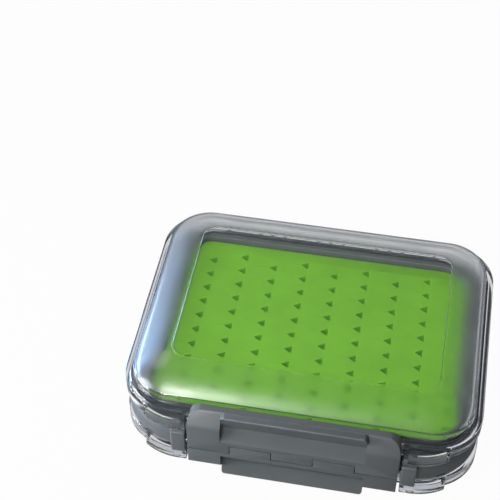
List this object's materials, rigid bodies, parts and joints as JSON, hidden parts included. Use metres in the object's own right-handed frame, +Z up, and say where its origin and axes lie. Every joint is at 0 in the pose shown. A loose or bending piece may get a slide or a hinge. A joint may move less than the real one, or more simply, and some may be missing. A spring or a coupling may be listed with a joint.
{
  "type": "fly box",
  "caption": "Double-sided fly box with a middle frame, slit silicone inserts, clear hinged lids sealed by gaskets, and twin snap latch flaps on one pin",
  "frame": {"origin": "centre of the resting face of the lower lid, under the middle of the case", "axes": "+X along the length of the case, +Y from the latch to the hinges, +Z up through the upper lid"},
  "size_m": [0.128, 0.1064, 0.0448],
  "materials": {
    "grey_plastic": "satin moulded grey",
    "green_silicone": "matt lime green silicone",
    "dark_seal": "matt dark seal",
    "clear_plastic": "clear, polished window and skirt with a satin border",
    "steel": "drawn stainless rod"
  },
  "bodies": {
    "frame": {"frame": "grey_plastic", "upper_insert": "green_silicone", "lower_insert": "green_silicone", "upper_gasket": "dark_seal", "lower_gasket": "dark_seal", "latch_pin": "steel", "upper_hinge_pin": "steel", "lower_hinge_pin": "steel"},
    "upper_lid": {"upper_lid": "clear_plastic"},
    "lower_lid": {"lower_lid": "clear_plastic"},
    "upper_latch": {"upper_latch": "grey_plastic"},
    "lower_latch": {"lower_latch": "grey_plastic"}
  },
  "joints": [
    {"name": "upper_lid_hinge", "type": "hinge", "parent": "frame", "child": "upper_lid", "pos_m": [0, 0.0507, 0.0268], "axis": [-1, 0, 0], "range_deg": [0, 120]},
    {"name": "lower_lid_hinge", "type": "hinge", "parent": "frame", "child": "lower_lid", "pos_m": [0, 0.0507, 0.018], "axis": [1, 0, 0], "range_deg": [0, 120]},
    {"name": "upper_latch_hinge", "type": "hinge", "parent": "frame", "child": "upper_latch", "pos_m": [0, -0.0511, 0.0224], "axis": [1, 0, 0], "range_deg": [0, 45]},
    {"name": "lower_latch_hinge", "type": "hinge", "parent": "frame", "child": "lower_latch", "pos_m": [0, -0.0511, 0.0224], "axis": [-1, 0, 0], "range_deg": [0, 45]}
  ]
}
